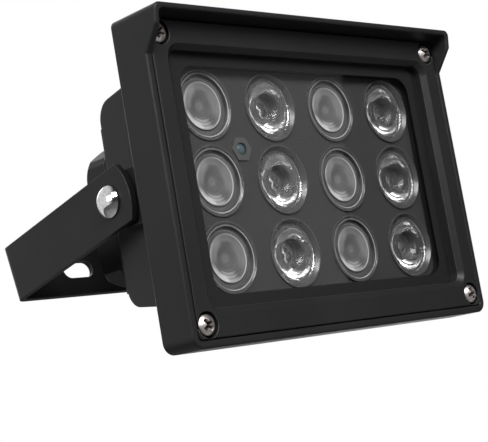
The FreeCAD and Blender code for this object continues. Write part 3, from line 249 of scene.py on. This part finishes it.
# Where the four screws of a node are on the straight head, each as its middle across, its
# crown, its middle up and its length; crownSide is -1 for crowns in front and 1 for behind
def screwSeats(nodeName, crownSide):
    screws = nodes[nodeName]
    straight = headPlace.inverted() @ screws.matrix_world
    points = [straight @ vertex.co for vertex in screws.data.vertices]
    seats = []
    for side in (-1, 1):
        for level in (-1, 1):
            mine = [point for point in points if point.x * side > 0 and point.z * level > 0]
            low = [min(point[axis] for point in mine) for axis in range(3)]
            high = [max(point[axis] for point in mine) for axis in range(3)]
            crown, tip = (high[1], low[1]) if crownSide > 0 else (low[1], high[1])
            seats.append(((low[0] + high[0]) / 2, crown, (low[2] + high[2]) / 2,
                          abs(tip - crown)))
    return seats


# How every screw and bolt is modelled; angles in degrees
screwBuild = {
    "around": 48, "domeRings": 10, "crossTaper": 0.55, "crossAbove": 0.001,
    "bevelSteps": 2, "bevelFrom": 35, "smoothBelow": 30}


# One domed screw, shank down and its crown "raise" above the origin, built ring by ring from
# tip to crown; "cuts" is the number of slots across its head, and two make a cross.
def modelScrew(look):
    radius = look["head"] / 2
    shank = look["shank"] / 2
    dome = look["high"] - look["side"]
    ball = (radius ** 2 + dome ** 2) / (2 * dome)
    spread = math.asin(radius / ball)
    rings = [(shank, look["long"] - look["high"]), (radius, 0), (radius, look["side"])]
    last = 0
    for step in range(1, screwBuild["domeRings"]):
        angle = spread * (1 - step / screwBuild["domeRings"])
        rise = ball * (math.cos(angle) - math.cos(spread))
        rings.append((ball * math.sin(angle), rise - last))
        last = rise
    bpy.ops.object.select_all(action="DESELECT")
    bpy.ops.mesh.primitive_circle_add(
        vertices=screwBuild["around"], radius=shank, fill_type="NGON",
        location=(0, 0, look["raise"] - look["long"]))
    screw = bpy.context.object
    bpy.ops.object.transform_apply(location=True, rotation=True, scale=True)
    bpy.ops.object.mode_set(mode="EDIT")
    bpy.ops.mesh.select_all(action="SELECT")
    width = shank
    for newWidth, lift in rings:
        bpy.ops.mesh.extrude_region_move(TRANSFORM_OT_translate={"value": (0, 0, lift)})
        bpy.ops.transform.resize(value=(newWidth / width, newWidth / width, 1))
        width = newWidth
    bpy.ops.mesh.select_all(action="SELECT")
    bpy.ops.mesh.normals_make_consistent(inside=False)
    bpy.ops.object.mode_set(mode="OBJECT")
    for quarter in range(look["cuts"]):
        cutSlot(screw, look, quarter * quarterTurn)
    soft = screw.modifiers.new("soft edges", "BEVEL")
    soft.width = look["edge"]
    soft.segments = screwBuild["bevelSteps"]
    soft.limit_method = "ANGLE"
    soft.angle_limit = math.radians(screwBuild["bevelFrom"])
    bpy.ops.object.modifier_apply(modifier=soft.name)
    bpy.ops.object.select_all(action="DESELECT")
    screw.select_set(True)
    bpy.ops.object.shade_smooth_by_angle(angle=math.radians(screwBuild["smoothBelow"]))
    return screw


# A slot across a screw's crown, narrower at its bottom
def cutSlot(screw, look, turn):
    bpy.ops.mesh.primitive_cube_add(
        size=1, location=(0, 0, look["raise"] - look["crossDeep"] / 2))
    arm = bpy.context.object
    arm.scale = (look["crossLong"], look["crossWide"],
                 look["crossDeep"] + screwBuild["crossAbove"])
    arm.rotation_euler = (0, 0, turn)
    bpy.ops.object.transform_apply(location=False, rotation=True, scale=True)
    bpy.ops.object.mode_set(mode="EDIT")
    bpy.ops.mesh.select_all(action="DESELECT")
    bpy.ops.object.mode_set(mode="OBJECT")
    for vertex in arm.data.vertices:
        vertex.select = vertex.co.z < 0
    bpy.ops.object.mode_set(mode="EDIT")
    bpy.ops.transform.resize(value=(screwBuild["crossTaper"], screwBuild["crossTaper"], 1))
    bpy.ops.object.mode_set(mode="OBJECT")
    cut = screw.modifiers.new("recess", "BOOLEAN")
    cut.operation = "DIFFERENCE"
    cut.solver = "EXACT"
    cut.object = arm
    bpy.context.view_layer.objects.active = screw
    bpy.ops.object.modifier_apply(modifier=cut.name)
    bpy.data.objects.remove(arm)


# One modelled screw, copied to the four seats of a node; "turns" are the crosses' angles
def placeScrews(name, nodeName, crownSide, look):
    seats = screwSeats(nodeName, crownSide)
    pattern = modelScrew(dict(look, long=seats[0][3] + look["raise"]))
    pattern.data.materials.append(nickel.material)
    for index, (across, crown, up, _) in enumerate(seats):
        screw = bpy.data.objects.new(f"{name}{index + 1}", pattern.data.copy())
        bpy.context.scene.collection.objects.link(screw)
        screw.data.transform(
            headPlace @ Matrix.Translation((across, crown, up))
            @ Matrix.Rotation(-crownSide * quarterTurn, 4, "X")
            @ Matrix.Rotation(math.radians(look["turns"][index]), 4, "Z"))
        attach(screw, "lamp_head")
        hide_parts(nodeName)
    bpy.data.objects.remove(pattern)


coverScrewLook = {
    "head": 0.0076, "shank": 0.004, "side": 0.0038, "high": 0.0054, "raise": 0.0030,
    "cuts": 2, "crossLong": 0.0058, "crossWide": 0.0017, "crossDeep": 0.0025,
    "edge": 0.00012, "turns": (40, 62, 20, 52)}
lidScrewLook = {
    "head": 0.0056, "shank": 0.003, "side": 0.0005, "high": 0.0018, "raise": 0.0,
    "cuts": 2, "crossLong": 0.0034, "crossWide": 0.0009, "crossDeep": 0.0013,
    "edge": 0.00008, "turns": (30, 5, 62, 40)}
placeScrews("coverScrew", "cover_screws", -1, coverScrewLook)
placeScrews("lidScrew", "driver_cover_screws", 1, lidScrewLook)


# The pivot bolts' plain domed heads; each stands with its crown outwards on the pivot axis
def placeBolt(name, nodeName, side, look):
    node = nodes[nodeName]
    reach = [(node.matrix_world @ vertex.co).x * side for vertex in node.data.vertices]
    bolt = modelScrew(dict(look, long=max(reach) - min(reach) + look["raise"]))
    bolt.name = name
    bolt.data.materials.append(chrome.material)
    bolt.data.transform(Matrix.Translation((side * max(reach), head["pivotY"], 0))
                        @ Matrix.Rotation(side * quarterTurn, 4, "Y"))
    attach(bolt, "lamp_head")
    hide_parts(nodeName)


boltLook = {"head": 0.0122, "shank": 0.006, "side": 0.0004, "high": 0.0036,
            "raise": 0.0003, "cuts": 0, "edge": 0.00015}
placeBolt("pivotBoltLeft", "pivot_bolt_left", -1, boltLook)
placeBolt("pivotBoltRight", "pivot_bolt_right", 1, boltLook)
print("screws and bolts made")


# Front glass: clear in the window, black print from the window's edge outwards
def makeGlass(look):
    finish = Finish("printed glass")
    x, _, z = finish.headXyz()
    corner = look["corner"]
    across = (x.size() - (look["halfWidth"] - corner)).most(0)
    up = (z.size() - (look["halfHeight"] - corner)).most(0)
    outside = (across * across + up * up) ** 0.5
    printed = outside.rise(corner - look["printBlur"], corner + look["printBlur"])
    grain = finish.noise(look["inkScale"], detail=2)
    finish.set(Base_Color=finish.blend(grain, look["ink"], look["inkLight"]),
               Roughness=look["inkRough"], Specular_IOR_Level=look["inkSpecular"])
    clear = finish.node("ShaderNodeBsdfTransparent", None, {"Color": look["tint"]})
    shine = finish.node("ShaderNodeBsdfGlossy", None, {
        "Color": look["shine"], "Roughness": look["shineRough"]})
    fresnel = finish.node("ShaderNodeFresnel", None, {"IOR": look["ior"]})
    front = 1 - finish.node("ShaderNodeNewGeometry", output="Backfacing")
    pane = finish.node("ShaderNodeMixShader", None, {0: fresnel * front, 1: clear, 2: shine})
    ink = Signal(finish, finish.shader.outputs[0])
    both = finish.node("ShaderNodeMixShader", None, {0: printed, 1: pane, 2: ink})
    finish.feed(finish.tree.nodes["Material Output"], {"Surface": both})
    return finish


glassLook = {
    "halfWidth": 0.064, "halfHeight": 0.0415, "corner": 0.007, "printBlur": 0.0002,
    "ink": grey(0.010), "inkLight": grey(0.014), "inkScale": 900, "inkRough": 0.35,
    "inkSpecular": 0.2, "tint": grey(0.97), "shine": grey(0.4), "shineRough": 0.02, "ior": 1.5}
coat(makeGlass(glassLook), ["front_glass"])

# Moulded plastics, rubber and painted plate share one recipe: colour drift and fine grain.
# A finish changes what it names of these values.
plainLook = {"driftScale": 60, "grainScale": 1800, "grainDepth": 0.00001,
             "specular": 0.4, "roughDrift": 0.1}


def makePlain(name, changes):
    look = dict(plainLook, **changes)
    finish = Finish(name)
    drift = finish.noise(look["driftScale"], detail=3)
    grain = finish.noise(look["grainScale"], detail=2)
    finish.set(Base_Color=finish.blend(drift, look["dark"], look["light"]),
               Roughness=drift * look["roughDrift"] + look["rough"],
               Specular_IOR_Level=look["specular"],
               Normal=finish.bump(grain, look["grainDepth"]))
    return finish


coat(makePlain("black rubber", {
    "dark": grey(0.012), "light": grey(0.02), "rough": 0.7, "grainDepth": 0.00003}),
    ["front_gasket", "driver_gasket", "gland_seal"])
coat(makePlain("lens plate coat", {
    "dark": grey(0.040), "light": grey(0.047), "rough": 0.5, "specular": 0.2,
    "grainDepth": 0.000001}), ["lens_plate"])
coat(makePlain("holder plastic", {
    "dark": grey(0.055), "light": grey(0.070), "rough": 0.22, "specular": 0.5}),
    named("lens_holder") + ["sensor_holder"])
coat(makePlain("black plastic", {"dark": grey(0.012), "light": grey(0.02), "rough": 0.45}),
     ["gland_body", "gland_nut", "gland_locknut"])
coat(makePlain("washer plastic", {"dark": grey(0.02), "light": grey(0.03), "rough": 0.5}),
     ["pivot_washer_left", "pivot_washer_right"])

# The lenses stand in a grid, and the clear and the frosted ones in every other column
lensGrid = {"columnStep": 0.0682, "rowStep": 0.02807, "acrylicIor": 1.49}


# How far a signal is past the nearest whole step
def pastStep(signal, step):
    return (signal + step / 2).maths("FLOORED_MODULO", step) - step / 2


# The lenses of a kind share one finish, which needs the distance from each one's own axis
def lensPlace(finish, firstColumn):
    x, _, z = finish.headXyz()
    across = pastStep(x - firstColumn, lensGrid["columnStep"])
    up = pastStep(z, lensGrid["rowStep"])
    return across, up, (across * across + up * up) ** 0.5


# Clear acrylic with faint streaks round its outer part
def makeClearLens(look):
    finish = Finish("clear lens")
    across, up, reach = lensPlace(finish, look["firstColumn"])
    angle = across.maths("ARCTAN2", up)
    streaks = finish.noise(1, detail=2, rough=0.6, vector=finish.node(
        "ShaderNodeCombineXYZ", None, {
            "X": angle * look["streaks"], "Y": reach * look["streakBends"]}))
    outer = reach.rise(*look["streakSpan"])
    finish.set(Base_Color=look["tint"], Roughness=streaks * look["streakHaze"] + look["rough"],
               IOR=lensGrid["acrylicIor"], Transmission_Weight=look["clear"],
               Normal=finish.bump(streaks * outer, look["streakDepth"]))
    return finish


clearLook = {
    "firstColumn": -0.01705, "tint": grey(0.80), "clear": 0.95, "rough": 0.0,
    "streaks": 7, "streakBends": 90, "streakSpan": (0.0085, 0.0105), "streakHaze": 0.02,
    "streakDepth": 0.00035}
coat(makeClearLens(clearLook), named("spot_lens"))


# Frosted lenses: hazy acrylic. The distance from each axis tells rim, rings and dish apart;
# painted highlights stand as lighter patches round a darker middle disc, and the rings and
# ripple arcs carry painted glints on one side. Angles are in degrees, 0 at the right and 90 at
# the top.
def makeFrostedLens(look):
    finish = Finish("frosted lens")
    across, up, reach = lensPlace(finish, look["firstColumn"])

    def towards(angle, start, end):
        turned = math.radians(angle)
        along = across * math.cos(turned) + up * math.sin(turned)
        return (along / (reach + look["nearAxis"])).rise(start, end)

    rings = 0
    for middle, halfWidth, level, angle in look["rings"]:
        line = 1 - (reach - middle).size().rise(halfWidth * look["ringSolid"], halfWidth)
        # Painted glint: each ring is lighter towards its given angle
        glint = towards(angle, *look["ringSpread"]) * (1 - look["ringPlain"])
        rings = line * (glint + look["ringPlain"]) * level + rings
    highlightPatches = 0
    # Painted highlights: lighter patches at given angles and distances from the axis
    for angle, start, end, innerReach, outerReach, level in look["highlightPatches"]:
        highlightPatch = towards(angle, start, end) * reach.rise(innerReach, outerReach)
        highlightPatches = highlightPatch * level + highlightPatches
    # Painted highlight: fine ripple arcs lighter on one side only
    ripples = (reach * look["arcTurns"]).maths("SINE", 0)
    arcs = ripples * towards(*look["arcSide"]) * look["arcs"]
    inDish = 1 - reach.rise(look["dish"] - look["dishBlur"], look["dish"] + look["dishBlur"])
    outside = reach.rise(*look["discSpan"])
    core = 1 - (reach + across * look["coreLean"]).rise(*look["coreSpan"])
    drift = finish.noise(1, detail=3, rough=0.6, vector=finish.node(
        "ShaderNodeCombineXYZ", None, {
            "X": across * look["driftAcross"], "Y": reach * look["driftOut"],
            "Z": up * look["driftAcross"]})) * look["drift"]
    dish = look["dishHaze"] + outside * (highlightPatches + arcs) + core * look["core"]
    level = look["haze"] + rings + drift + inDish * dish
    wave = finish.noise(look["waveScale"], detail=1)
    finish.set(Base_Color=finish.blend(level, grey(0.0), grey(1.0)), Roughness=look["rough"],
               IOR=lensGrid["acrylicIor"], Transmission_Weight=look["clear"],
               Normal=finish.bump(wave, look["waveDepth"]))
    return finish


# Each ring is its distance, half width, level and the angle of its painted glint; each painted
# highlight patch is its angle, the span of its spread, the span of its distance and its level.
frostedLook = {
    "firstColumn": -0.05115, "dish": 0.0088, "dishBlur": 0.0003, "nearAxis": 0.0001,
    "rings": [(0.0119, 0.00035, 0.80, -30), (0.0109, 0.0002, 0.30, 120),
              (0.0101, 0.0002, 0.26, 60), (0.0088, 0.0003, 0.62, 5)],
    "ringSpread": (-0.3, 0.9), "ringSolid": 0.5, "ringPlain": 0.25,
    "highlightPatches": [(228, 0.74, 0.98, 0.0058, 0.0086, 1.00), (262, 0.72, 0.98, 0.0040, 0.0060, 0.34),
                (150, 0.60, 0.98, 0.0036, 0.0060, 0.26), (162, 0.80, 1.0, 0.0072, 0.0088, 0.50),
                (100, 0.60, 1.0, 0.0050, 0.0070, 0.16), (15, 0.50, 1.0, 0.0036, 0.0060, 0.13)],
    "arcTurns": 4800, "arcs": 0.14, "arcSide": (262, 0.6, 0.95),
    "discSpan": (0.0034, 0.0052), "core": 0.10, "coreSpan": (0.0010, 0.0022), "coreLean": 0.3,
    "driftAcross": 140, "driftOut": 700, "drift": 0.24, "haze": 0.0, "dishHaze": 0.06,
    "waveScale": 300, "waveDepth": 0.00002, "rough": 0.35, "clear": 0.45}
coat(makeFrostedLens(frostedLook), named("wide_lens"))

coat(makePlain("led resin", {"dark": grey(0.20), "light": (0.26, 0.25, 0.23), "rough": 0.2}),
     ["led_emitters"])
coat(makePlain("sensor resin", {
    "dark": (0.030, 0.060, 0.070), "light": (0.085, 0.135, 0.145), "rough": 0.15,
    "driftScale": 400}), ["light_sensor"])
coat(makePlain("board mask", {"dark": grey(0.02), "light": grey(0.03), "rough": 0.3}),
     ["led_board", "driver_board"])
coat(makePlain("ferrite", {"dark": grey(0.03), "light": grey(0.05), "rough": 0.6}),
     ["driver_transformer", "driver_choke"])
coat(makePlain("capacitor sleeve", {"dark": grey(0.02), "light": grey(0.04), "rough": 0.3}),
     ["driver_capacitors"])
print("materials made")


# Camera as the photograph was taken: from the left, low and rolled
shot = {"place": (-0.39537, -0.42851, -0.15835), "aim": (0, -0.06034, -0.00601),
        "roll": -19.0, "lens": 102.5}
camera = bpy.data.objects.new("camera", bpy.data.cameras.new("camera"))
bpy.context.scene.collection.objects.link(camera)
bpy.context.scene.camera = camera
camera.data.lens = shot["lens"]
camera.location = shot["place"]
gaze = Vector(shot["aim"]) - Vector(shot["place"])
camera.rotation_mode = "QUATERNION"
camera.rotation_quaternion = (gaze.to_track_quat("-Z", "Y")
                              @ Quaternion((0, 0, 1), math.radians(shot["roll"])))

# Studio: soft key in two parts from the front and the upper left, softboxes at both sides
# and behind, all pointed at the spot the camera looks at
lamps = {
    "key": {"place": (-0.25, -0.95, 0.42), "size": 0.45, "power": 2.2, "spread": 80},
    "side key": {"place": (-0.60, -0.70, 0.40), "size": 0.45, "power": 1.2, "spread": 80},
    "left softbox": {"place": (-0.80, -0.25, 0.22), "size": 0.4, "power": 0.86, "spread": 120},
    "back softbox": {"place": (0.75, 1.05, 0.70), "size": 1.6, "power": 11.0, "spread": 150},
    "far right softbox": {"place": (1.20, 0.35, 0.30), "size": 1.2, "power": 2.6,
                          "spread": 150},
    "right softbox": {"place": (0.55, -0.95, -0.06), "size": 0.6, "power": 0.75,
                      "spread": 180}}
for name, lamp in lamps.items():
    light = bpy.data.objects.new(name, bpy.data.lights.new(name, "AREA"))
    bpy.context.scene.collection.objects.link(light)
    light.data.size = lamp["size"]
    light.data.energy = lamp["power"]
    light.data.spread = math.radians(lamp["spread"])
    light.location = lamp["place"]
    light.rotation_mode = "QUATERNION"
    light.rotation_quaternion = (Vector(shot["aim"]) - light.location).to_track_quat("-Z", "Y")

room = {"floorDrop": 0.6, "floorSize": 5.0, "floorSeen": 0.9, "floorMirrored": 0.05,
        "ambient": 0.03, "mirroredDark": 0.04, "mirroredWhite": 0.70, "throughLens": 0.6,
        "whiteSide": (-0.62, 0.70, 0.36), "whiteSpan": (0.1, 0.6)}
bpy.ops.object.select_all(action="DESELECT")
bpy.ops.mesh.primitive_plane_add(
    size=room["floorSize"], location=(0, 0, cadBox[0][2] - room["floorDrop"]))
floor = bpy.context.object
floor.name = "floor"
floorPaint = makePlain("floor paint", {
    "dark": grey(0.50), "light": grey(0.56), "rough": 0.8, "specular": 0.1, "driftScale": 3,
    "grainScale": 200})
seen = floorPaint.node("ShaderNodeLightPath", output="Is Camera Ray")
mirrored = floorPaint.node("ShaderNodeLightPath", output="Is Glossy Ray")
floorPaint.set(Emission_Color=grey(1.0), Emission_Strength=(
    seen * room["floorSeen"] + mirrored * room["floorMirrored"]))
floor.data.materials.append(floorPaint.material)

# The world is white to the camera and lighter grey through the lenses. What gloss mirrors
# is light at the left and behind and dark elsewhere; on plain surfaces it shines dimly.
world = bpy.data.worlds.new("studio")
bpy.context.scene.world = world
world.use_nodes = True
sky = Shader(world.node_tree)
toCamera, throughLens, toGloss = [
    sky.node("ShaderNodeLightPath", output=f"Is {kind} Ray")
    for kind in ("Camera", "Transmission", "Glossy")]
facing = sky.node("ShaderNodeVectorMath", {"operation": "DOT_PRODUCT"}, {
    0: sky.node("ShaderNodeTexCoord", output="Generated"), 1: room["whiteSide"]}, output="Value")
card = (facing.rise(*room["whiteSpan"]) * (room["mirroredWhite"] - room["mirroredDark"])
        + room["mirroredDark"])
strength = toCamera.most(throughLens * room["throughLens"]).most(toGloss * card).most(
    room["ambient"])
sky.feed(world.node_tree.nodes["Background"], {"Color": grey(1.0), "Strength": strength})
bpy.context.scene.view_settings.view_transform = "Standard"
print("camera, lamps and room made")
